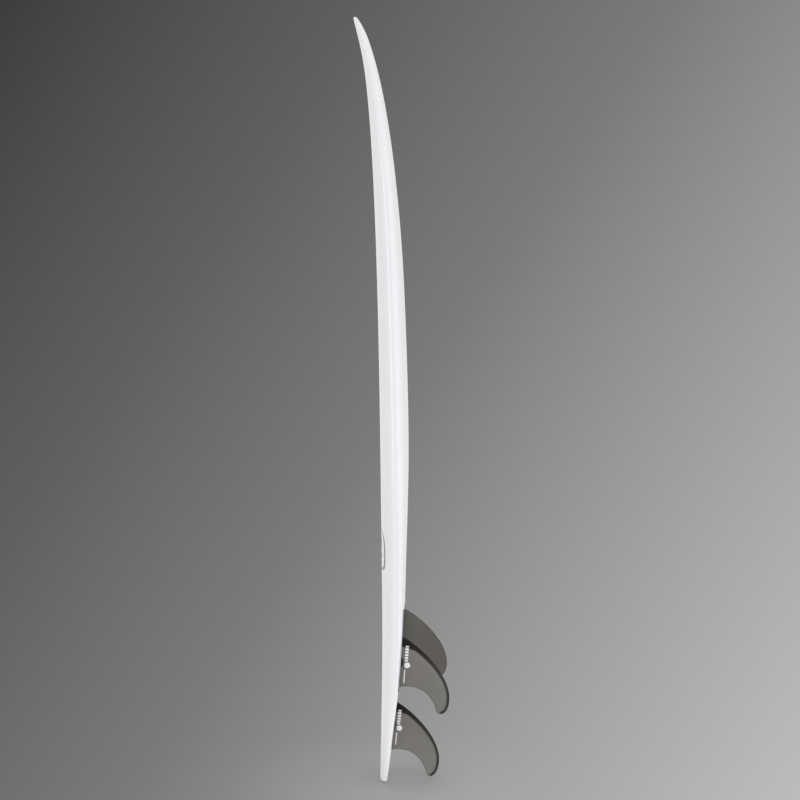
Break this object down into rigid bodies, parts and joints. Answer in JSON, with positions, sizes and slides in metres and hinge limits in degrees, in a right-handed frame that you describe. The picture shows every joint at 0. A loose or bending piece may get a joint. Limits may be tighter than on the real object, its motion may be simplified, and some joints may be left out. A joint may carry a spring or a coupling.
{
  "type": "surfboard",
  "caption": "Glossy white shortboard with a foam and timber core, glass laminate, rounded squash tail and smoked click-in thruster fins.",
  "frame": {"origin": "centre of the small flat at the tail's end, on which the board stands", "axes": "+Z from tail to nose, +X out of the bottom on the fins' side, -X out of the deck, +Y across the board towards its right rail"},
  "size_m": [0.2207, 0.508, 1.778],
  "materials": {
    "laminate": "gloss",
    "foam": "matte",
    "dense_foam": "matte",
    "timber": "matte",
    "smoked_composite": "gloss",
    "white_nylon": "satin",
    "dark_nylon": "satin",
    "steel": "polished"
  },
  "bodies": {
    "board": {"blank_left": "foam", "blank_right": "foam", "stringer": "timber", "deck_skin": "laminate", "bottom_skin": "laminate", "leash_plug_cup": "white_nylon", "leash_plug_pin": "steel", "fin_box_centre_body": "dark_nylon", "fin_box_centre_base": "dark_nylon", "fin_box_centre_collar": "dense_foam", "fin_box_centre_spring": "steel", "fin_box_left_body": "dark_nylon", "fin_box_left_base": "dark_nylon", "fin_box_left_collar": "dense_foam", "fin_box_left_spring": "steel", "fin_box_right_body": "dark_nylon", "fin_box_right_base": "dark_nylon", "fin_box_right_collar": "dense_foam", "fin_box_right_spring": "steel"},
    "fin_centre": {"fin_centre": "smoked_composite"},
    "fin_left": {"fin_left": "smoked_composite"},
    "fin_right": {"fin_right": "smoked_composite"},
    "roller_centre": {"fin_box_centre_roller": "steel"},
    "roller_left": {"fin_box_left_roller": "steel"},
    "roller_right": {"fin_box_right_roller": "steel"}
  },
  "joints": [
    {"name": "fin_centre_swing", "type": "hinge", "parent": "board", "child": "fin_centre", "pos_m": [0.02516, 0, 0.17794], "axis": [0, -1, 0], "range_deg": [0, 5]},
    {"name": "fin_left_swing", "type": "hinge", "parent": "board", "child": "fin_left", "pos_m": [0.04407, -0.15603, 0.36296], "axis": [-0.0428, -0.9975, 0.0556], "range_deg": [0, 5]},
    {"name": "fin_right_swing", "type": "hinge", "parent": "board", "child": "fin_right", "pos_m": [0.04407, 0.15603, 0.36296], "axis": [0.0428, -0.9975, -0.0556], "range_deg": [0, 5]},
    {"name": "roller_centre_slide", "type": "slide", "parent": "board", "child": "roller_centre", "axis": [-0.1057, 0, -0.9944], "range_m": [0, 0.00142], "deforming": ["fin_box_centre_spring"]},
    {"name": "roller_left_slide", "type": "slide", "parent": "board", "child": "roller_left", "axis": [-0.074, -0.0523, -0.9959], "range_m": [0, 0.00142], "deforming": ["fin_box_left_spring"]},
    {"name": "roller_right_slide", "type": "slide", "parent": "board", "child": "roller_right", "axis": [-0.074, 0.0523, -0.9959], "range_m": [0, 0.00142], "deforming": ["fin_box_right_spring"]}
  ],
  "couplings": [
    {"joint": "roller_centre_slide", "follows": "fin_centre_swing", "m_per_rad": 0.016043},
    {"joint": "roller_left_slide", "follows": "fin_left_swing", "m_per_rad": 0.016043},
    {"joint": "roller_right_slide", "follows": "fin_right_swing", "m_per_rad": 0.016043}
  ]
}
